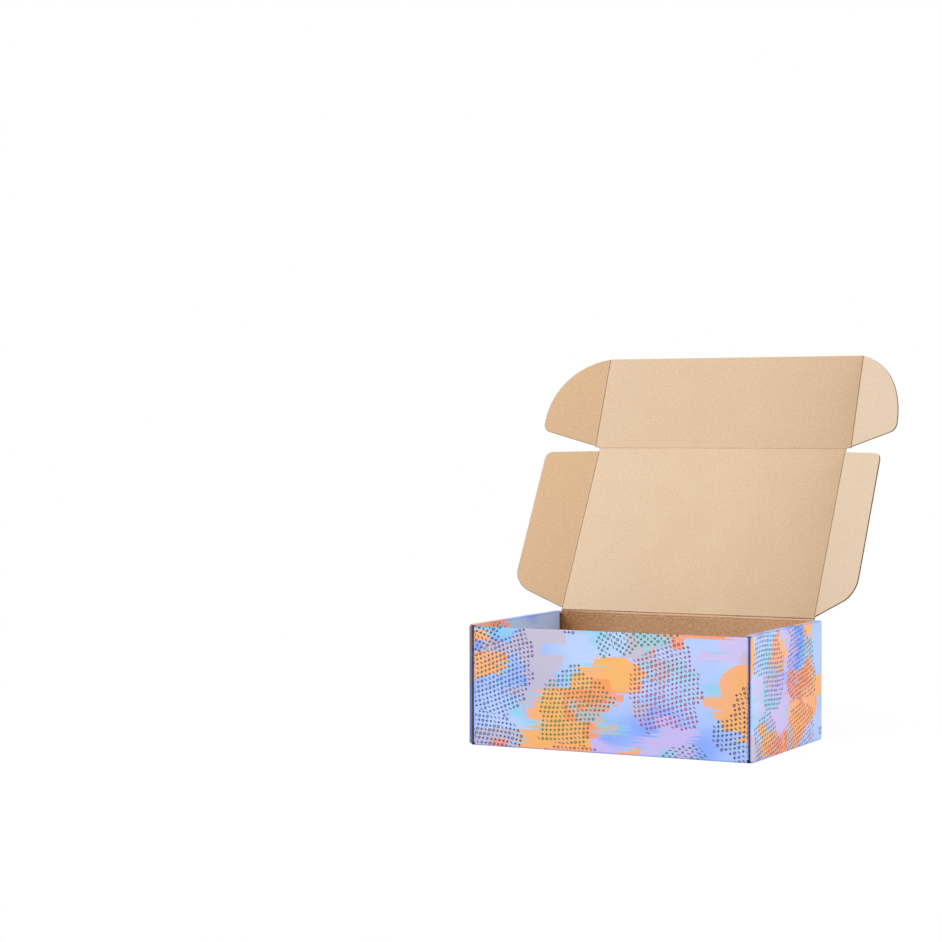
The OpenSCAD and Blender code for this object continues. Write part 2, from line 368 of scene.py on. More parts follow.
def fluted_core(board, outline, place, blank_of):
    """The fluted layer: a sheet whose mid line is half the board plus A cos(2 pi d / pitch), d
    along the fold, drawn out from the fold to the outline at that d, a hair back from the edge."""
    first, last = outline[:, 1].min() + CORE_RECESS, outline[:, 1].max() - CORE_RECESS
    count = int((last - first) / FLUTE_PITCH * FLUTE_STEPS)
    d = np.linspace(first, last, count)
    order = np.argsort(outline[:, 1], kind="stable")
    reach = np.interp(d, outline[order, 1], outline[order, 0]) - CORE_RECESS
    keep = reach > FLUTE_SHORTEST
    d, reach = d[keep], reach[keep]
    height = BOARD / 2 - LINER - FLUTE_SHEET / 2
    mid = BOARD / 2 + height * np.cos(2 * math.pi * d / FLUTE_PITCH)
    start = np.full(len(d), CREASE_REACH)
    u = np.stack([start, reach], -1)
    low = place(u, d[:, None], (mid - FLUTE_SHEET / 2)[:, None])
    high = place(u, d[:, None], (mid + FLUTE_SHEET / 2)[:, None])
    rows, cols = u.shape
    quads = cells_of(rows, cols)
    border = loop_of(rows, cols)
    nxt = np.roll(border, -1)
    n = rows * cols
    faces = quads[:, ::-1].tolist() + (quads + n).tolist()
    faces += np.stack([border, border + n, nxt + n, nxt], -1).tolist()
    a = low[0, 0]
    normal = np.cross(low[1, 0] - a, low[0, 1] - a)
    if normal @ (high[0, 0] - a) < 0:
        faces = [face[::-1] for face in faces]
    blank = blank_of(u, d[:, None] + 0 * u)
    board.add(np.concatenate([low.reshape(-1, 3), high.reshape(-1, 3)]), faces, [EDGE] * len(faces),
              np.concatenate([blank.reshape(-1, 2)] * 2))


def panel_place(origin, along, side=1, angle=0.0):
    """Turns (u, d, depth) of a flat panel into space, from a point on its fold line: u goes out
    along X to the side, folded in by the angle about the line, d goes along the panel, and depth
    goes towards the kraft side."""
    s, a = np.array(X_WAY, float), np.array(along, float)
    inward = np.cross(s, a)
    o = np.array(origin, float)
    out = side * s * math.cos(angle) + inward * math.sin(angle)
    deep = inward * math.cos(angle) - side * s * math.sin(angle)

    def place(u, d, depth):
        u, d, depth = (np.asarray(v, float)[..., None] for v in (u, d, depth))
        return o + out * u + a * d + deep * depth
    return place


def fluted_flap(name, outline, place, blank_of, materials):
    """A flap of fluted board: two liners and the fluted layer between them."""
    board = Board()
    outline_slab(board, outline, 0, LINER, place, blank_of, (PRINT, EDGE))
    outline_slab(board, outline, BOARD - LINER, BOARD, place, blank_of, (EDGE, KRAFT))
    fluted_core(board, outline, place, blank_of)
    return board.make(name, materials)


GROOVE_HALF = 0.0006
DEEP_GROOVE = 0.0008
SHALLOW_GROOVE = 0.0003
BEAD_H = 0.00009
CREASE_ROWS = np.array([-1, -0.62, -0.45, -0.33, -0.25, -0.17, -0.09, -0.02, 0.02, 0.09, 0.17, 0.25,
                        0.33, 0.45, 0.62, 1])


def crease(name, origin, axis, way_a, angle, reach, low, high, blank_of, groove, materials):
    """A pressed fold between two panels. Across it runs s, from -reach on panel a to +reach on
    panel b; the kraft face has a groove of depth groove times cos^2, with a low bead beside it.
    At rest each point is turned about the axis by the angle times a smooth step of s."""
    s = np.where(CREASE_ROWS < 0, CREASE_ROWS * reach[0], CREASE_ROWS * reach[1])
    pull = np.clip((s + BEND_REACH) / (2 * BEND_REACH), 0, 1)
    pull = pull * pull * (3 - 2 * pull)
    near = np.clip(np.abs(s) / GROOVE_HALF, 0, 1)
    cut = groove * np.cos(near * math.pi / 2) ** 2
    bead = BEAD_H * np.exp(-((np.abs(s) - 1.5 * GROOVE_HALF) / (0.5 * GROOVE_HALF)) ** 2)
    bead = np.where(np.abs(CREASE_ROWS) == 1, 0, bead)
    axis, way_a = np.array(axis, float), np.array(way_a, float)
    inward = np.cross(axis, way_a)
    origin = np.array(origin, float)
    turn = pull * angle
    out = way_a[None] * np.cos(turn)[:, None] + inward[None] * np.sin(turn)[:, None]
    deep = inward[None] * np.cos(turn)[:, None] - way_a[None] * np.sin(turn)[:, None]
    cols = 25
    k = np.linspace(0, 1, cols)
    lows, highs = np.array([low(v) for v in s]), np.array([high(v) for v in s])
    across = lows[:, None] + k[None] * (highs - lows)[:, None]
    base = origin + out * s[:, None]
    outer = base[:, None] + axis * across[..., None]
    inner = outer + (deep * (BOARD - cut + bead)[:, None])[:, None]
    # The kraft face is painted darker along the groove, by its depth: partly the pressed line's own brown,
    # partly painted shade in the groove.
    mark = np.repeat(cut[:, None], cols, 1) / DEEP_GROOVE
    mark = np.stack([0 * mark, mark])
    board = Board()
    close_shell(board, outer, inner, blank_of(s[:, None] + 0 * across, across), mark)
    return board.make(name, materials)


def plate(board, xs, ys, filled, place, blank_of):
    """A flat board on a lattice of xs by ys with some cells left out, such as for slots."""
    nx, ny = len(xs), len(ys)
    gx, gy = np.meshgrid(xs, ys, indexing="ij")
    bottom = place(gx, gy, np.zeros_like(gx)).reshape(-1, 3)
    top = place(gx, gy, np.full_like(gx, BOARD)).reshape(-1, 3)
    grid = np.arange(nx * ny).reshape(nx, ny)
    n = nx * ny
    faces, finish = [], []
    for i in range(nx - 1):
        for j in range(ny - 1):
            if not filled[i][j]:
                continue
            a, b, c, d = grid[i, j], grid[i + 1, j], grid[i + 1, j + 1], grid[i, j + 1]
            faces += [[a, d, c, b], [a + n, b + n, c + n, d + n]]
            finish += [PRINT, KRAFT]
            beside = [((i, j - 1), (a, b)), ((i + 1, j), (b, c)), ((i, j + 1), (c, d)), ((i - 1, j), (d, a))]
            for (p, q), (one, two) in beside:
                inside = 0 <= p < nx - 1 and 0 <= q < ny - 1
                if not (inside and filled[p][q]):
                    faces.append([one, two, two + n, one + n])
                    finish.append(EDGE)
    if mirrored(place):
        faces = [face[::-1] for face in faces]
    used = sorted({v for face in faces for v in face})
    renumber = {old: new for new, old in enumerate(used)}
    faces = [[renumber[v] for v in face] for face in faces]
    verts = np.concatenate([bottom, top])[used]
    blank = np.tile(blank_of(gx, gy).reshape(-1, 2), (2, 1))[used]
    board.add(verts, faces, finish, blank)


# Materials.

def srgb(r, g, b):
    """A colour written as it shows on screen, 0 to 255, made linear."""
    c = np.array([r, g, b]) / 255
    c = np.where(c <= 0.04045, c / 12.92, ((c + 0.055) / 1.055) ** 2.4)
    return (*c.tolist(), 1.0)


WHITE = (1.0, 1.0, 1.0, 1.0)

# The print's colours, its inks, and the blue of its folds.
DEEP_BLUE = srgb(112, 156, 250)
PERIWINKLE = srgb(164, 192, 254)
SKY = srgb(192, 214, 253)
LILAC = srgb(216, 194, 240)
GREY_LILAC = srgb(203, 191, 205)
AQUA = srgb(140, 216, 236)
AMBER = srgb(255, 184, 86)
PEACH = srgb(255, 180, 128)
CORAL = srgb(255, 156, 92)
INKS = [srgb(20, 48, 128), srgb(154, 10, 76), srgb(0, 108, 44), srgb(60, 34, 36)]
EDGE_BLUE = srgb(84, 132, 246)

# The print inside the rolls is this much stronger in red, green and blue, as painted light:
# the kraft round it takes the blue out of its light, which in the photo it doesn't show.
INNER_PAINTED_LIGHT = (1.02, 1.08, 1.4, 1.0)

# Kraft liners: light, dark, pinker, fibre shade, fibre light. The tray's inside is browner.
LID_KRAFT = [srgb(227, 199, 166), srgb(225, 196, 163), srgb(229, 197, 169), srgb(194, 155, 116),
             srgb(245, 224, 199)]
INSIDE_KRAFT = [srgb(210, 168, 126), srgb(204, 161, 119), srgb(210, 166, 127), srgb(144, 99, 60),
                srgb(234, 199, 160)]
# The brown of the specks, and of a crease's line, which is partly the pressed line's own brown and partly
# painted shade.
CREASE_BROWN = srgb(176, 129, 88)

# Painted light and shade: the kraft's colour drifts towards these from place to place, standing in for how
# the light falls. Inside the back wall it does so from CORNER_START to the left corner, and fades away over
# FADE_OUT of the floor, in millimetres.
PAINTED_SHADE_DEEP = srgb(196, 160, 124)
PAINTED_SHADE_WARM = srgb(220, 185, 146)
PAINTED_LIGHT_PINK = srgb(226, 204, 178)
PAINTED_CORNER_SHADE = srgb(150, 88, 24)
PAINTED_OPEN_LIGHT = srgb(240, 205, 168)
CORNER_START = -60.0
FADE_OUT = 90.0

# Cut edges; pressed edges, whose slate is painted shade; and the kraft face in painted shade inside a roll.
EDGE_LIGHT = srgb(190, 160, 126)
EDGE_DARK = srgb(146, 118, 90)
# The slate tones are painted shade, dark as in the slots between the walls.
SLATE_LIGHT = srgb(60, 61, 88)
SLATE_DARK = srgb(28, 29, 54)
ROLL_SHADE = srgb(158, 154, 178)

# The print's layout, in millimetres of the flat blank: the rows that slide and how far, and
# the patches of marks. Marks are drawn in shares of their pitch.
PRINT_SHIFT = (-20.0, 80.0, 0.0)
THIN_ROW = 1.3
THIN_PUSH = 16.0
BLOCK_ROW = 9.0
BLOCK_PUSH = 34.0
PATCH_SPACING = 76.0
PATCH_REACH = 31.0
PATCH_WAVE = 46.0
PATCH_TURN = 1.6
MARK_PITCH = 3.7
MARK_STROKE = 0.112
MARK_SOFT = 0.03
RING_R = 0.24
PLUS_ARM = 0.35
DIAMOND_R = 0.33
SLASH_R = 0.38
INK_COVER = 0.92


class Nodes:
    """Short ways to add shader nodes to a tree."""

    def __init__(self, tree):
        self.tree = tree

    def add(self, kind, **settings):
        node = self.tree.nodes.new(kind)
        for key, value in settings.items():
            setattr(node, key, value)
        return node

    def put(self, socket, value):
        if isinstance(value, bpy.types.NodeSocket):
            self.tree.links.new(value, socket)
        elif value is not None:
            socket.default_value = value

    def math(self, operation, a, b=None, c=None, clamp=False):
        node = self.add("ShaderNodeMath", operation=operation, use_clamp=clamp)
        for socket, value in zip(node.inputs, (a, b, c)):
            self.put(socket, value)
        return node.outputs[0]

    def vector(self, operation, a, b=None, scale=None):
        node = self.add("ShaderNodeVectorMath", operation=operation)
        self.put(node.inputs[0], a)
        if b is not None:
            self.put(node.inputs[1], b)
        if scale is not None:
            self.put(node.inputs["Scale"], scale)
        return node.outputs["Value"] if operation in ("LENGTH", "DOT_PRODUCT") else node.outputs["Vector"]

    def split(self, vector):
        node = self.add("ShaderNodeSeparateXYZ")
        self.put(node.inputs[0], vector)
        return node.outputs

    def join(self, x, y, z=0.0):
        node = self.add("ShaderNodeCombineXYZ")
        for socket, value in zip(node.inputs, (x, y, z)):
            self.put(socket, value)
        return node.outputs[0]

    def noise(self, vector, scale, detail=2.0, rough=0.5, dimensions="3D"):
        node = self.add("ShaderNodeTexNoise", noise_dimensions=dimensions)
        self.put(node.inputs["Vector"], vector)
        node.inputs["Scale"].default_value = scale
        node.inputs["Detail"].default_value = detail
        node.inputs["Roughness"].default_value = rough
        return node.outputs["Fac"]

    def step(self, value, start, end, low=0.0, high=1.0):
        """Goes from low to high as value goes from start to end, and no further."""
        node = self.add("ShaderNodeMapRange", clamp=True)
        self.put(node.inputs["Value"], value)
        for name, number in (("From Min", start), ("From Max", end), ("To Min", low), ("To Max", high)):
            self.put(node.inputs[name], number)
        return node.outputs["Result"]

    def mix(self, share, a, b):
        """Colour a where share is 0, and b where it is 1."""
        node = self.add("ShaderNodeMix", data_type="RGBA")
        self.put(node.inputs[0], share)
        self.put(node.inputs[6], a)
        self.put(node.inputs[7], b)
        return node.outputs[2]

    def plain(self, kind, colour, strength=None):
        node = self.add(kind)
        node.inputs["Color"].default_value = colour
        if strength is not None:
            node.inputs["Strength"].default_value = strength
        return node.outputs[0]

    def mix_shaders(self, share, a, b):
        node = self.add("ShaderNodeMixShader")
        for socket, value in zip(node.inputs, (share, a, b)):
            self.put(socket, value)
        return node.outputs[0]

    def random(self, vector):
        node = self.add("ShaderNodeTexWhiteNoise", noise_dimensions="3D")
        self.put(node.inputs["Vector"], vector)
        return node.outputs["Value"]


def new_group(name, inputs, outputs):
    """An empty shader group: its tree, its nodes, and the sockets of its two ends."""
    tree = bpy.data.node_groups.new(name, "ShaderNodeTree")
    for label, kind, value in inputs:
        socket = tree.interface.new_socket(name=label, in_out="INPUT", socket_type=kind)
        if value is not None:
            socket.default_value = value
    for label, kind in outputs:
        tree.interface.new_socket(name=label, in_out="OUTPUT", socket_type=kind)
    nodes = Nodes(tree)
    return tree, nodes, nodes.add("NodeGroupInput").outputs, nodes.add("NodeGroupOutput").inputs


def paper_grain_group():
    """The look of a paper liner, from flat-blank coordinates in millimetres: slow clouds of
    pulp, fine fibres in soft mottles, sparse dark specks, and the faint washboard of the
    flutes under it."""
    tree, n, given, out = new_group(
        "paper_grain",
        [("Vector", "NodeSocketVector", None), ("Flute pitch", "NodeSocketFloat", FLUTE_PITCH * 1000)],
        [("Cloud", "NodeSocketFloat"), ("Tint", "NodeSocketFloat"), ("Fibres", "NodeSocketFloat"),
         ("Specks", "NodeSocketFloat"), ("Flutes", "NodeSocketFloat"), ("Height", "NodeSocketFloat")])
    v = given["Vector"]
    n.put(out["Cloud"], n.noise(v, 0.03, 2.0, 0.5))
    n.put(out["Tint"], n.noise(n.vector("ADD", v, (310.0, 90.0, 0.0)), 0.12, 2.0, 0.6))
    grain = n.noise(v, 0.9, 3.0, 0.75)
    hairs = n.noise(n.vector("MULTIPLY", v, (0.45, 1.6, 1.0)), 0.9, 2.0, 0.6)
    mottle = n.noise(n.vector("ADD", v, (40.0, 220.0, 0.0)), 0.4, 1.0)
    fibres = n.math("ADD", n.math("MULTIPLY", grain, 0.48), n.math("MULTIPLY", hairs, 0.32))
    fibres = n.math("MULTIPLY_ADD", mottle, 0.2, fibres)
    n.put(out["Fibres"], fibres)
    spots = n.add("ShaderNodeTexVoronoi", voronoi_dimensions="2D", feature="F1")
    n.put(spots.inputs["Vector"], v)
    spots.inputs["Scale"].default_value = 0.16
    size = n.math("MULTIPLY", n.split(spots.outputs["Color"])[0], 0.055)
    n.put(out["Specks"], n.step(n.math("SUBTRACT", spots.outputs["Distance"], size), 0.02, -0.02))
    turn = n.math("DIVIDE", n.math("MULTIPLY", n.split(v)[1], 2 * math.pi), given["Flute pitch"])
    flutes = n.math("MULTIPLY_ADD", n.math("SINE", turn), 0.5, 0.5)
    patchy = n.math("MULTIPLY", flutes, n.step(n.noise(v, 0.05, 1.0), 0.3, 0.7))
    n.put(out["Flutes"], patchy)
    n.put(out["Height"], n.math("ADD", n.math("MULTIPLY", fibres, 0.5), n.math("MULTIPLY", patchy, 0.5)))
    return tree


def slid_rows(n, v):
    """In some zones whole rows slide sideways, so that the fields there end in level streaks.
    Gives the place to read the fields at, how torn the zone is, and the thin row's number."""
    x, y, _ = n.split(v)
    torn = n.step(n.noise(n.vector("ADD", v, (70.0, 10.0, 0.0)), 0.011, 1.0), 0.45, 0.5)
    thin_row = n.math("FLOOR", n.math("DIVIDE", y, THIN_ROW))
    band_row = n.math("FLOOR", n.math("DIVIDE", y, 3 * THIN_ROW))
    block_row = n.math("FLOOR", n.math("DIVIDE", y, BLOCK_ROW))
    frayed = n.math("GREATER_THAN", n.random(n.join(band_row, 5.0)), 0.5)
    thin_push = n.math("MULTIPLY", n.math("SUBTRACT", n.random(n.join(thin_row, 3.0)), 0.5), THIN_PUSH)
    thin_push = n.math("MULTIPLY", thin_push, frayed)
    block_push = n.math("MULTIPLY", n.math("SUBTRACT", n.random(n.join(block_row, 7.0)), 0.5), BLOCK_PUSH)
    push = n.math("MULTIPLY", n.math("ADD", thin_push, block_push), torn)
    level = n.math("MULTIPLY_ADD", block_row, BLOCK_ROW, BLOCK_ROW / 2)
    lift = n.math("MULTIPLY", n.math("SUBTRACT", level, y), n.math("MULTIPLY", torn, 0.85))
    return n.join(n.math("ADD", x, push), n.math("ADD", y, lift)), torn, thin_row


def colour_fields(n, v):
    """Clouds of blue, with fields of noise laid over them one by one, and slivers of aqua."""
    slid, torn, thin_row = slid_rows(n, v)

    def field(seed, scale, detail=0.6):
        at = n.vector("ADD", slid, (seed * 613.0, seed * 271.0, 0.0))
        return n.noise(at, scale, detail, 0.5, "2D")

    def over(color, mask, edge, soft, top, cover=1.0):
        share = n.math("MULTIPLY", n.step(mask, edge, edge + soft), cover)
        return n.mix(share, color, top)

    cloud = n.noise(n.vector("ADD", v, (15.0, 40.0, 0.0)), 0.011, 1.0)
    color = n.mix(n.step(cloud, 0.38, 0.62), PERIWINKLE, SKY)
    color = n.mix(n.step(cloud, 0.46, 0.3, 0.0, 0.9), color, DEEP_BLUE)
    color = over(color, field(1, 0.012), 0.53, 0.05, LILAC, 0.8)
    color = over(color, field(2, 0.0135), 0.56, 0.01, GREY_LILAC, 0.85)
    warm = field(4, 0.0135)
    heat = n.step(n.noise(v, 0.02, 1.0), 0.35, 0.65)
    color = over(color, warm, 0.549, 0.006, n.mix(heat, AMBER, PEACH), 0.95)
    color = over(color, field(5, 0.018), 0.66, 0.006, CORAL, 0.85)
    # The slivers lie along the rows, most of them close to the edge of the warm fields.
    along = n.math("MULTIPLY", n.split(v)[0], 0.022)
    sliver = n.noise(n.join(along, n.math("MULTIPLY", thin_row, 0.55)), 1.0, 1.0)
    close = n.step(n.math("ABSOLUTE", n.math("SUBTRACT", warm, 0.537)), 0.07, 0.03)
    slivers = n.math("MULTIPLY", n.step(sliver, 0.56, 0.6), n.math("MULTIPLY", close, torn))
    color = n.mix(n.math("MULTIPLY", slivers, 0.7), color, AQUA)
    return over(color, field(7, 0.027), 0.66, 0.03, AQUA, 0.5)


def mark_shape(n, fx, fy, kind):
    """One mark round (0, 0): a ring, a plus, a diamond or a slash, by a random kind from 0 to 1."""
    ax, ay = n.math("ABSOLUTE", fx), n.math("ABSOLUTE", fy)
    far = n.math("SQRT", n.math("ADD", n.math("MULTIPLY", fx, fx), n.math("MULTIPLY", fy, fy)))

    def stroke(distance, half):
        return n.step(distance, half + MARK_SOFT, half - MARK_SOFT)

    def choose(limit, below, above):
        node = n.add("ShaderNodeMix", data_type="FLOAT")
        n.put(node.inputs[0], n.math("LESS_THAN", kind, limit))
        n.put(node.inputs[2], above)
        n.put(node.inputs[3], below)
        return node.outputs[0]

    ring = stroke(n.math("ABSOLUTE", n.math("SUBTRACT", far, RING_R)), MARK_STROKE)
    plus = n.math("MULTIPLY", stroke(n.math("MINIMUM", ax, ay), MARK_STROKE),
                  stroke(n.math("MAXIMUM", ax, ay), PLUS_ARM))
    diamond = stroke(n.math("ADD", ax, ay), DIAMOND_R)
    slant = n.math("ABSOLUTE", n.math("SUBTRACT", fx, fy))
    slash = n.math("MULTIPLY", stroke(slant, MARK_STROKE * math.sqrt(2)), stroke(far, SLASH_R))
    return choose(0.24, ring, choose(0.5, plus, choose(0.76, diamond, slash)))


def patches_of_marks(n, v):
    """Patches of tiny marks on turned, gently bent grids: one patch in each cell of a loose
    layout, with its own turn and ink. Gives the marks as a mask, and the ink's colour."""
    cells = n.add("ShaderNodeTexVoronoi", voronoi_dimensions="2D", feature="F1")
    n.put(cells.inputs["Vector"], v)
    cells.inputs["Scale"].default_value = 1 / PATCH_SPACING
    cells.inputs["Randomness"].default_value = 0.7
    lot = n.split(cells.outputs["Color"])
    turned = n.add("ShaderNodeVectorRotate", rotation_type="Z_AXIS")
    n.put(turned.inputs["Vector"], n.vector("SUBTRACT", v, cells.outputs["Position"]))
    n.put(turned.inputs["Angle"], n.math("MULTIPLY", n.math("SUBTRACT", lot[0], 0.5), PATCH_TURN))
    lx, ly, _ = n.split(turned.outputs[0])
    bent_x = n.math("ADD", lx, n.math("MULTIPLY", n.math("SINE", n.math("MULTIPLY", ly, 0.07)), 3.0))
    bent_y = n.math("ADD", ly, n.math("MULTIPLY", n.math("SINE", n.math("MULTIPLY", lx, 0.06)), 2.6))
    gx, gy = n.math("DIVIDE", bent_x, MARK_PITCH), n.math("DIVIDE", bent_y, MARK_PITCH)
    cx, cy = n.math("FLOOR", gx), n.math("FLOOR", gy)
    fx = n.math("SUBTRACT", n.math("SUBTRACT", gx, cx), 0.5)
    fy = n.math("SUBTRACT", n.math("SUBTRACT", gy, cy), 0.5)
    mark = mark_shape(n, fx, fy, n.random(n.join(cx, cy, lot[2])))
    # A patch keeps a mark where the mark's middle lies inside a wavy round outline.
    hub = n.vector("SCALE", n.join(n.math("ADD", cx, 0.5), n.math("ADD", cy, 0.5)), scale=MARK_PITCH)
    shape = n.noise(n.vector("ADD", hub, n.vector("SCALE", cells.outputs["Color"], scale=500.0)), 0.03, 1.0)
    size = n.math("MULTIPLY_ADD", n.math("SUBTRACT", shape, 0.5), PATCH_WAVE, PATCH_REACH)
    inside = n.math("LESS_THAN", n.vector("LENGTH", n.vector("MULTIPLY", hub, (1.0, 0.8, 1.0))), size)
    inks = n.add("ShaderNodeValToRGB")
    ramp = inks.color_ramp
    ramp.interpolation = "CONSTANT"
    while len(ramp.elements) < len(INKS):
        ramp.elements.new(0.5)
    for i, colour in enumerate(INKS):
        ramp.elements[i].position = i / len(INKS)
        ramp.elements[i].color = colour
    n.put(inks.inputs[0], lot[1])
    return n.math("MULTIPLY", mark, inside), inks.outputs[0]


def print_group():
    """The print: patches of marks over fields of colour, from flat-blank millimetres."""
    tree, n, given, out = new_group(
        "print_fields", [("Vector", "NodeSocketVector", None)], [("Color", "NodeSocketColor")])
    v = n.vector("ADD", given["Vector"], PRINT_SHIFT)
    marks, ink = patches_of_marks(n, v)
    n.put(out["Color"], n.mix(n.math("MULTIPLY", marks, INK_COVER), colour_fields(n, v), ink))
    return tree


GRAIN = paper_grain_group()
PRINT_FIELDS = print_group()


def start_material(name):
    """A material with one Principled shader, and its flat-blank coordinates in millimetres."""
    material = bpy.data.materials.new(name)
    material.use_nodes = True
    material.node_tree.nodes.clear()
    n = Nodes(material.node_tree)
    shader = n.add("ShaderNodeBsdfPrincipled")
    output = n.add("ShaderNodeOutputMaterial")
    n.put(output.inputs["Surface"], shader.outputs[0])
    uv = n.add("ShaderNodeUVMap", uv_map="blank")
    mm = n.vector("SCALE", uv.outputs[0], scale=1000.0)
    return material, n, shader, mm


def grain_in(n, mm):
    """The paper grain group's outputs in a material."""
    node = n.add("ShaderNodeGroup")
    node.node_tree = GRAIN
    n.put(node.inputs["Vector"], mm)
    return node.outputs


def bump(n, height, strength, distance, over=None):
    """The normal of a height map, laid over another normal if there is one."""
    node = n.add("ShaderNodeBump")
    node.inputs["Strength"].default_value = strength
    node.inputs["Distance"].default_value = distance
    n.put(node.inputs["Height"], height)
    n.put(node.inputs["Normal"], over)
    return node.outputs[0]


def printed_material():
    """The printed liner: press above 0 turns it bluer, as on a fold, and -1 is inside a roll, where it is
    painted lighter: painted light.
    """
    material, n, shader, mm = start_material("printed_liner")
    grain = grain_in(n, mm)
    node = n.add("ShaderNodeGroup")
    node.node_tree = PRINT_FIELDS
    n.put(node.inputs["Vector"], mm)
    press = n.add("ShaderNodeAttribute", attribute_name="press").outputs["Fac"]
    color = n.mix(n.math("MULTIPLY", press, 0.68, clamp=True), node.outputs["Color"], EDGE_BLUE)
    worn = n.step(grain["Fibres"], 0.35, 0.65, 0.97, 1.03)
    # Painted light: the print inside a roll is made brighter.
    painted_light = n.mix(n.step(press, 0.0, IN_ROLL), WHITE, INNER_PAINTED_LIGHT)
    color = n.vector("SCALE", n.vector("MULTIPLY", color, painted_light), scale=worn)
    n.put(shader.inputs["Base Color"], n.vector("MINIMUM", color, (1.0, 1.0, 1.0)))
    n.put(shader.inputs["Roughness"], n.step(grain["Fibres"], 0.3, 0.7, 0.5, 0.62))
    n.put(shader.inputs["Normal"], bump(n, grain["Height"], 0.25, 0.00006))
    shader.inputs["Specular IOR Level"].default_value = 0.3
    return material


def kraft_material(name, tones, press_and_shade_tone, coarse, faintest=0.45):
    """Kraft liner. Where the press value is above 0 it takes the given tone: in a crease's
    groove a brown that is partly the pressed line's own and partly painted shade, and inside a
    roll a painted shade. Its share drifts from faintest to 0.9 along the sheet."""
    material, n, shader, mm = start_material(name)
    grain = grain_in(n, mm)
    light, dark, pinker, deep, bright = tones
    color = n.mix(n.step(grain["Cloud"], 0.35, 0.65), dark, light)
    color = n.mix(n.step(grain["Tint"], 0.5, 0.7, 0.0, 0.3), color, pinker)
    # Painted light and shade, laid into the kraft's colour.
    color = painted_light_and_shade(n, mm, color)
    color = n.mix(n.step(grain["Fibres"], 0.5, 0.72, 0.0, 0.42 * coarse), color, deep)
    color = n.mix(n.step(grain["Fibres"], 0.48, 0.3, 0.0, 0.5 * coarse), color, bright)
    # Painted shade of the flutes' washboard, up to 5 percent towards the fibre shade.
    color = n.mix(n.step(grain["Flutes"], 0.2, 0.8, 0.0, 0.05), color, deep)
    color = n.mix(n.math("MULTIPLY", grain["Specks"], 0.35), color, CREASE_BROWN)
    press = n.add("ShaderNodeAttribute", attribute_name="press").outputs["Fac"]
    uneven = n.step(n.noise(n.vector("ADD", mm, (130.0, 0.0, 0.0)), 0.02, 1.0), 0.35, 0.6, faintest, 0.9)
    # Painted shade here: all of it inside a roll, part of it in a crease's groove.
    color = n.mix(n.math("MULTIPLY", press, uneven), color, press_and_shade_tone)
    n.put(shader.inputs["Base Color"], color)
    n.put(shader.inputs["Roughness"], n.step(grain["Fibres"], 0.3, 0.7, 0.82, 0.95))
    fine = bump(n, grain["Height"], 0.4, 0.0001)
    n.put(shader.inputs["Normal"], bump(n, side_swell(n, mm), 1.0, 0.004, fine))
    shader.inputs["Specular IOR Level"].default_value = 0.2
    return material


def panel_half(n, y):
    """Half the width in millimetres between the side folds: the front flap's or the lid's."""
    on_flap = n.math("GREATER_THAN", y, FLAP_RUN * 1000)
    return n.math("MULTIPLY_ADD", on_flap, (FLAP_HALF - LID_HALF) * 1000, LID_HALF * 1000)


def painted_light_and_shade(n, mm, color):
    """Painted light and shade on the kraft, across the lid's end of the sheet: painted shade
    makes it warmer on the left flaps, painted light makes it pinker towards the lid's left,
    painted shade makes it darker towards its right and on the front flap, and painted light
    makes it pinker on the right flaps. On the back wall's inside painted shade makes it browner
    in the left corner and painted light makes it paler at the right, and both fade away over the floor."""
    x, y, _ = n.split(mm)
    on_lid = n.math("GREATER_THAN", y, LID_RUN * 1000)
    deeper = n.math("MULTIPLY", n.step(x, 20.0, LID_HALF * 1000, 0.0, 0.3), on_lid)
    pinker = n.math("MULTIPLY", n.step(x, -30.0, -LID_HALF * 1000, 0.0, 0.4), on_lid)
    half = panel_half(n, y)
    left = n.math("MULTIPLY", n.step(n.math("ADD", x, half), 0.0, -2.0), on_lid)
    right = n.math("MULTIPLY", n.step(n.math("SUBTRACT", x, half), 0.0, 2.0), on_lid)
    on_flap = n.math("MULTIPLY", n.math("GREATER_THAN", y, FLAP_RUN * 1000), 0.17)
    at_back = n.step(y, HALF_W * 1000 - FADE_OUT, HALF_W * 1000)
    on_wall = n.math("MULTIPLY", at_back, n.math("SUBTRACT", 1.0, on_lid))
    corner = n.math("MULTIPLY", n.step(x, CORNER_START, -BACK_SIDE * 1000, 0.0, 0.88), on_wall)
    open_end = n.math("MULTIPLY", n.step(x, -30.0, 60.0, 0.0, 0.22), on_wall)
    # Painted shade in the back wall's left corner and painted light towards its right, both fading over the
    # floor.
    color = n.mix(corner, color, PAINTED_CORNER_SHADE)
    color = n.mix(open_end, color, PAINTED_OPEN_LIGHT)
    # Painted shade towards the lid's right, on the front flap and on the left flaps; painted light towards
    # the lid's left and on the right flaps.
    color = n.mix(deeper, color, PAINTED_SHADE_DEEP)
    color = n.mix(pinker, color, PAINTED_LIGHT_PINK)
    color = n.mix(left, color, PAINTED_SHADE_WARM)
    color = n.mix(on_flap, color, PAINTED_SHADE_DEEP)
    return n.mix(right, color, PAINTED_LIGHT_PINK)


def side_swell(n, mm):
    """The lid and the front flap bow a little towards their side folds: the kraft face falls
    away by exp(-d / 20 mm), where d is the way left to the fold."""
    x, y, _ = n.split(mm)
    on_lid = n.math("GREATER_THAN", y, LID_RUN * 1000)
    half = panel_half(n, y)
    left = n.math("MAXIMUM", n.math("SUBTRACT", half, n.math("ABSOLUTE", x)), 0.0)
    fall = n.math("EXPONENT", n.math("DIVIDE", left, -20.0))
    inside = n.math("LESS_THAN", n.math("ABSOLUTE", x), half)
    return n.math("MULTIPLY", n.math("MULTIPLY", fall, -1.0), n.math("MULTIPLY", on_lid, inside))


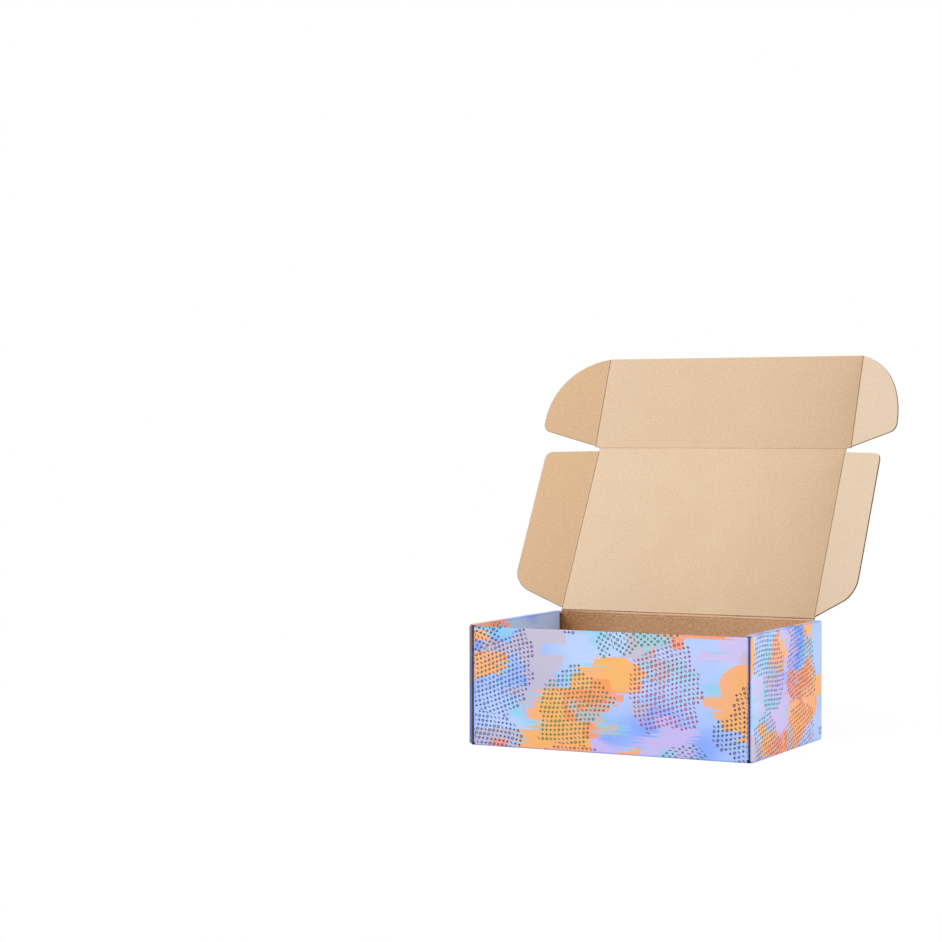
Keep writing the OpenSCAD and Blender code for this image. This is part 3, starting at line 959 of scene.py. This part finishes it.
def edge_material(name, dark, light):
    """Cut paper, in two tones mixed by a fine rough noise."""
    material, n, shader, _ = start_material(name)
    place = n.add("ShaderNodeTexCoord").outputs["Object"]
    rough = n.noise(place, 900.0, 3.0, 0.7)
    n.put(shader.inputs["Base Color"], n.mix(n.step(rough, 0.35, 0.65), dark, light))
    shader.inputs["Roughness"].default_value = 0.9
    n.put(shader.inputs["Normal"], bump(n, rough, 0.5, 0.0001))
    shader.inputs["Specular IOR Level"].default_value = 0.2
    return material


FINISHES = [printed_material(), kraft_material("kraft_liner", LID_KRAFT, CREASE_BROWN, 1.3),
            edge_material("cut_edge", EDGE_DARK, EDGE_LIGHT)]
# Inside the rolls the tray's kraft takes ROLL_SHADE, a painted shade.
TRAY_FINISHES = [FINISHES[0], kraft_material("kraft_inside", INSIDE_KRAFT, ROLL_SHADE, 2.5, 0.9),
                 # The tray's edges are slate: painted shade.
                 edge_material("pressed_edge", SLATE_DARK, SLATE_LIGHT)]
BAND_FINISHES = [FINISHES[0], kraft_material("kraft_band", INSIDE_KRAFT, CREASE_BROWN, 2.5), FINISHES[2]]

# The tray. Flat-blank coordinates are the floor's own X and Y, carried on through each fold.

tray = Board()


def rolled_wall(side):
    """Bottom fold, outer panel, rolled top and inner panel in one sweep along Y."""
    start, rise = SIDE_START[side], SIDE_RISE[side]
    foot = BOARD + LAYER_GAP
    corners = [(HALF_L - BESIDE_FOLD, 0), (HALF_L, 0), (HALF_L, BOX_H), (ROLL_IN, BOX_H), (ROLL_IN, foot)]
    low_fold = BESIDE_FOLD
    up_fold = low_fold + BOX_H
    in_fold = up_fold + HALF_L - ROLL_IN
    end = in_fold + BOX_H - foot
    a, b = BESIDE_FOLD, BESIDE_FOLD + WIDTH_STEP
    knots = [0, low_fold + a, low_fold + b, up_fold - b, up_fold - a, in_fold + a, in_fold + b, end]
    inner_low = FRONT_IN + LAYER_GAP
    inner_high = BACK_IN - INNER_BACK_GAP
    lows = [FRONT_IN, FRONT_IN, -HALF_W, -HALF_W, FRONT_OUT, FRONT_OUT, inner_low, inner_low + INNER_TAPER]
    highs = [BACK_IN, BACK_IN, HALF_W, HALF_W, ROLL_BACK, ROLL_BACK, inner_high, inner_high - INNER_TAPER]
    sweep(tray, corners, lambda x, z, y: stack(side * x, y, z), knots, lows, highs,
          lambda s, y: stack(side * (start + y), rise + s), 1, in_fold + a)
    for end_y in (-TAB_Y, TAB_Y):
        plate(tray, np.array([-TAB_HALF, TAB_HALF]), np.array([0, foot]), [[True]],
              lambda u, d, depth: stack(side * (ROLL_IN + depth), end_y + u, LAYER_GAP + d),
              lambda u, d: stack(side * (start + end_y + u), rise + end))


def corner_flap(side, x_side, y_wall, way, top):
    """The fold at a wall's end and the flap that runs on inside the roll, with its outer
    corners drawn in by a quarter circle."""
    length = BESIDE_FOLD + BOARD + CORNER_FLAP_L
    straight = BESIDE_FOLD + 2 * BOARD
    turns = np.linspace(0, math.pi / 2, 9)
    round_at = length - CORNER_R * (1 - np.sin(turns))
    knots = np.concatenate([[0, straight], round_at])
    slant = np.maximum(0, knots - straight) * math.tan(CORNER_SLANT)
    drop = slant + np.concatenate([[0, 0], CORNER_R * (1 - np.cos(turns))])
    y_fold = -abs(y_wall)
    corners = [(x_side - BESIDE_FOLD, y_fold), (x_side, y_fold), (x_side, y_fold + BOARD + CORNER_FLAP_L)]
    sweep(tray, corners, lambda x, y, z: stack(side * x, -way * y, z), knots, CORNER_FOOT + drop, top - drop,
          lambda s, z: stack(side * (x_side + s), way * (HALF_W + z)), 1)


def wall(y_out, way, top, half):
    """A wall folded up from the floor, swept along X."""
    corners = [(y_out - BESIDE_FOLD, 0), (y_out, 0), (y_out, top)]
    sweep(tray, corners, lambda y, z, x: stack(x, way * y, z), [0, BESIDE_FOLD + top], [-half, -half],
          [half, half], lambda s, x: stack(x, way * (y_out - BESIDE_FOLD + s)))


def tray_floor():
    """The floor on a lattice of lines, with its four cells for the tabs' slots left out."""
    slot_low, slot_high = ROLL_IN - TAB_GAP, ROLL_IN + BOARD + TAB_GAP
    end_x = HALF_L - BESIDE_FOLD
    xs = np.array([-end_x, -slot_high, -slot_low, slot_low, slot_high, end_x])
    half = TAB_HALF + TAB_GAP
    ys = np.array([FRONT_OUT + BESIDE_FOLD, -TAB_Y - half, -TAB_Y + half, TAB_Y - half, TAB_Y + half,
                   HALF_W - BESIDE_FOLD])
    filled = [[not (i in (1, 3) and j in (1, 3)) for j in range(5)] for i in range(5)]
    plate(tray, xs, ys, filled, lambda x, y, z: stack(x, y, z), lambda x, y: stack(x, y))


tray_floor()
wall(-FRONT_OUT, -1, FRONT_TOP, SLOT_IN - BESIDE_FOLD)
wall(HALF_W, 1, LOWER_FOLD.z - CREASE_REACH, BACK_SIDE - BESIDE_FOLD)
for side in (-1, 1):
    rolled_wall(side)
    corner_flap(side, SLOT_IN, FRONT_OUT, -1, FRONT_TOP)
    corner_flap(side, BACK_SIDE, HALF_W, 1, LOWER_FOLD.z - BOARD)
tray_piece = tray.make("tray_board", TRAY_FINISHES)
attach(tray_piece, "tray")
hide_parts("tray")

# The lid and its flaps.

def flat_panel(name, body, node, origin, along, half, start, end, run):
    """A flat board in even steps, from start to end along its way and half to each side."""
    board = Board()
    xs, ys = np.linspace(-half, half, 13), np.linspace(start, end, 13)
    gx, gy = np.meshgrid(xs, ys, indexing="ij")
    place = panel_place(origin, along)
    close_shell(board, place(gx, gy, 0 * gx), place(gx, gy, 0 * gx + BOARD), stack(gx, run + gy))
    piece = board.make(name, FINISHES)
    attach(piece, body)
    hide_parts(node)


flat_panel("lid_panel", "lid", "lid", UPPER_FOLD, LID_WAY, LID_HALF - CREASE_REACH, CREASE_REACH,
           LID_L - CREASE_REACH, LID_RUN)
flat_panel("front_flap_panel", "front_flap", "front_flap", FRONT_FOLD, FLAP_WAY,
           FLAP_HALF - CREASE_REACH, CREASE_REACH, FLAP_H, FLAP_RUN)


def ear_arc():
    """Centre and radius of the ear's long arc, through its widest place and the flap's corner."""
    rise = FLAP_H - EAR_CROWN
    radius = (EAR_W ** 2 + rise ** 2) / (2 * EAR_W)
    return np.array([EAR_W - radius, EAR_CROWN]), radius


def ear_near(u):
    return EAR_START + u * math.tan(EAR_SLANT)


def ear_far(u):
    centre, radius = ear_arc()
    return centre[1] + math.sqrt(radius ** 2 - (u - centre[0]) ** 2)


def ear_outline():
    """The slanted edge next to the lid, a small arc, and the long arc to the flap's free edge."""
    centre, radius = ear_arc()
    way = np.array([math.cos(EAR_SLANT), math.sin(EAR_SLANT)])
    off = np.array([0, EAR_START]) + EAR_R * np.array([-way[1], way[0]]) - centre
    along = -off @ way + math.sqrt((off @ way) ** 2 - off @ off + (radius - EAR_R) ** 2)
    small = centre + off + along * way
    start = -math.pi / 2 + EAR_SLANT
    to_big = small - centre
    end = math.atan2(to_big[1], to_big[0])
    turns = np.linspace(start, end, 10)
    first = small + EAR_R * np.stack([np.cos(turns), np.sin(turns)], -1)
    stop = math.acos((CREASE_REACH - centre[0]) / radius)
    turns = np.linspace(end, stop, 60)[1:]
    second = centre + radius * np.stack([np.cos(turns), np.sin(turns)], -1)
    foot = np.array([[CREASE_REACH, ear_near(CREASE_REACH)]])
    return np.concatenate([foot, first, second])


def side_near(u):
    return SIDE_NEAR + u * math.tan(NEAR_SLANT)


def side_far(u):
    return SIDE_FAR - u * math.tan(FAR_SLANT)


def side_outline():
    """Two slanted edges and the edge between them, with an arc at both outer corners."""
    corners = [(CREASE_REACH, side_near(CREASE_REACH)), (SIDE_W, side_near(SIDE_W)),
               (SIDE_W, side_far(SIDE_W)), (CREASE_REACH, side_far(CREASE_REACH))]
    return rounded_polygon(corners, [0, NEAR_R, FAR_R, 0])


def hinged_flap(name, node, joint, outline, side, base, along, half, run):
    """A fluted flap at a panel's side, standing at its fold's rest angle."""
    place = panel_place(base + X_WAY * side * half, along, side, rest_angle(joint))
    piece = fluted_flap(name, outline, place, lambda u, d: stack(side * (half + u), run + d), FINISHES)
    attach(piece, node)
    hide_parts(node)


for side, word in ((-1, "left"), (1, "right")):
    hinged_flap(f"side_flap_{word}", f"lid_side_flap_{word}", f"side_flap_{word}_fold", side_outline(),
                side, UPPER_FOLD, LID_WAY, LID_HALF, LID_RUN)
    hinged_flap(f"ear_{word}", f"front_flap_ear_{word}", f"ear_{word}_fold", ear_outline(),
                side, FRONT_FOLD, FLAP_WAY, FLAP_HALF, FLAP_RUN)

# The creases, each across one joint.

BAND_WAY = (UPPER_FOLD - LOWER_FOLD).normalized()


def lean_of(way):
    """The angle of a way over the ground, from the back."""
    return math.atan2(way.z, way.y)


def fold_piece(name, origin, axis, way_a, angle, reach, low, high, blank_of, groove,
               materials=FINISHES):
    """A crease between two bodies, bent at rest over BEND_REACH on each side."""
    piece = crease(name, origin, axis, way_a, angle, reach, low, high, blank_of, groove, materials)
    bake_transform(piece)
    return piece


UP = Vector((0, 0, 1))
BACK_HALF = BACK_SIDE - BESIDE_FOLD
lower = fold_piece("lower_crease", LOWER_FOLD, X_WAY, UP,
                   lean_of(BAND_WAY) - math.pi / 2, (CREASE_REACH, BAND_W / 2),
                   lambda s: -BACK_HALF if s < 0 else -LID_HALF, lambda s: BACK_HALF if s < 0 else LID_HALF,
                   lambda s, x: stack(x, BACK_RUN + s), SHALLOW_GROOVE, BAND_FINISHES)
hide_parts("lid_fold")
fold_piece("upper_crease", UPPER_FOLD, X_WAY, BAND_WAY,
           lean_of(LID_WAY) - lean_of(BAND_WAY), (BAND_W / 2, CREASE_REACH),
           lambda s: -LID_HALF, lambda s: LID_HALF, lambda s, x: stack(x, LID_RUN + s), DEEP_GROOVE)
fold_piece("front_crease", FRONT_FOLD, X_WAY, LID_WAY,
           lean_of(FLAP_WAY) - lean_of(LID_WAY), (CREASE_REACH, CREASE_REACH),
           lambda s: -LID_HALF if s < SHOULDER_H * 0.8 else -FLAP_HALF,
           lambda s: LID_HALF if s < SHOULDER_H * 0.8 else FLAP_HALF,
           lambda s, x: stack(x, FLAP_RUN + s), SHALLOW_GROOVE)


def side_crease(name, joint, side, base, along, half, run, panel_end, near_edge, far_edge):
    """A fold along a panel's side. On the panel it runs from CREASE_REACH to panel_end, and on
    the flap from near_edge(s) to far_edge(s), s being the way out from the fold line."""
    side_way = X_WAY * side
    angle = rest_angle(joint)

    def low(s):
        if side > 0:
            return -(panel_end if s < 0 else far_edge(s))
        return CREASE_REACH if s < 0 else near_edge(s)

    def high(s):
        if side > 0:
            return -(CREASE_REACH if s < 0 else near_edge(s))
        return panel_end if s < 0 else far_edge(s)
    # The axis runs so that axis cross side_way points to the kraft side.
    fold_piece(name, base + side_way * half, along * -side, side_way, angle,
               (CREASE_REACH, CREASE_REACH), low, high,
               lambda s, d: stack(side * (half + s), run - side * d), DEEP_GROOVE)


for side, word in ((-1, "left"), (1, "right")):
    side_crease(f"side_crease_{word}", f"side_flap_{word}_fold", side,
                UPPER_FOLD, LID_WAY, LID_HALF, LID_RUN, LID_L - CREASE_REACH, side_near, side_far)
    side_crease(f"ear_crease_{word}", f"ear_{word}_fold", side,
                FRONT_FOLD, FLAP_WAY, FLAP_HALF, FLAP_RUN, FLAP_H, ear_near, ear_far)

# Floor, light and camera.

FLOOR_SIZE = 8.0
FLOOR_Z = -0.0002
floor_mesh = bpy.data.meshes.new("studio_floor")
corner = FLOOR_SIZE / 2
floor_corners = [(-corner, -corner, 0), (corner, -corner, 0), (corner, corner, 0), (-corner, corner, 0)]
floor_mesh.from_pydata(floor_corners, [], [(0, 1, 2, 3)])
studio_floor = bpy.data.objects.new("studio_floor", floor_mesh)
studio_floor.location.z = FLOOR_Z
bpy.context.scene.collection.objects.link(studio_floor)


def floor_material():
    """A white floor that keeps the object's shadow. To the camera it is a diffuse surface with
    a glow added, so that it is pure white where the light is full, and far out it only glows."""
    material = bpy.data.materials.new("studio_white")
    material.use_nodes = True
    material.node_tree.nodes.clear()
    n = Nodes(material.node_tree)
    output = n.add("ShaderNodeOutputMaterial")
    diffuse = n.plain("ShaderNodeBsdfDiffuse", (0.8, 0.8, 0.8, 1))
    both = n.add("ShaderNodeAddShader")
    n.put(both.inputs[0], n.plain("ShaderNodeBsdfDiffuse", (0.4, 0.4, 0.4, 1)))
    n.put(both.inputs[1], n.plain("ShaderNodeEmission", WHITE, 0.74))
    place = n.add("ShaderNodeTexCoord").outputs["Object"]
    seen = n.mix_shaders(n.step(n.vector("LENGTH", place), 0.3, 0.8), both.outputs[0],
                         n.plain("ShaderNodeEmission", WHITE, 1.0))
    to_camera = n.add("ShaderNodeLightPath").outputs["Is Camera Ray"]
    n.put(output.inputs["Surface"], n.mix_shaders(to_camera, diffuse, seen))
    return material


floor_mesh.materials.append(floor_material())

world = bpy.data.worlds.new("studio")
bpy.context.scene.world = world
world.use_nodes = True
world.node_tree.nodes.clear()
wn = Nodes(world.node_tree)
path = wn.add("ShaderNodeLightPath")
white = wn.plain("ShaderNodeBackground", WHITE, 1.0)
soft_sky = wn.plain("ShaderNodeBackground", (0.97, 0.98, 1.0, 1), 0.56)
shown = wn.math("MAXIMUM", path.outputs["Is Camera Ray"],
                wn.math("MAXIMUM", path.outputs["Is Glossy Ray"], path.outputs["Is Transmission Ray"]))
world_out = wn.add("ShaderNodeOutputWorld")
wn.put(world_out.inputs["Surface"], wn.mix_shaders(shown, soft_sky, white))


def area_light(name, place, aim, size, power, colour):
    """A round soft light at a place, turned to its aim."""
    data = bpy.data.lights.new(name, "AREA")
    data.shape = "DISK"
    data.size = size
    data.energy = power
    data.color = colour
    light = bpy.data.objects.new(name, data)
    light.location = place
    light.rotation_mode = "QUATERNION"
    light.rotation_quaternion = (Vector(aim) - Vector(place)).to_track_quat("-Z", "Y")
    bpy.context.scene.collection.objects.link(light)


area_light("key", (-1.3, -1.6, 1.6), (0, 0, 0.15), 1.5, 36, (0.985, 0.99, 1.0))
area_light("fill", (2.3, 0.2, 0.8), (0, 0, 0.1), 1.5, 25, (1.0, 0.98, 0.95))

# The camera that took the photo, worked out from the tray's corners.
CAMERA_PLACE = (0.7858, -1.8376, 0.2636)
CAMERA_YAW = math.radians(27.4)
CAMERA_PITCH = math.radians(-1.01)
CAMERA_ROLL = math.radians(-0.05)
CAMERA_LENS = 90.6
camera_data = bpy.data.cameras.new("camera")
camera_data.lens = CAMERA_LENS
camera_data.sensor_width = 36
camera = bpy.data.objects.new("camera", camera_data)
forward = Vector((-math.sin(CAMERA_YAW) * math.cos(CAMERA_PITCH),
                  math.cos(CAMERA_YAW) * math.cos(CAMERA_PITCH), math.sin(CAMERA_PITCH)))
right = Vector((math.cos(CAMERA_YAW), math.sin(CAMERA_YAW), 0))
up = right.cross(forward)
right, up = (right * math.cos(CAMERA_ROLL) + up * math.sin(CAMERA_ROLL),
             up * math.cos(CAMERA_ROLL) - right * math.sin(CAMERA_ROLL))
turn = Matrix((right, up, -forward)).transposed().to_4x4()
camera.matrix_world = Matrix.Translation(CAMERA_PLACE) @ turn
bpy.context.scene.collection.objects.link(camera)
bpy.context.scene.camera = camera
bpy.context.scene.view_settings.view_transform = "Standard"
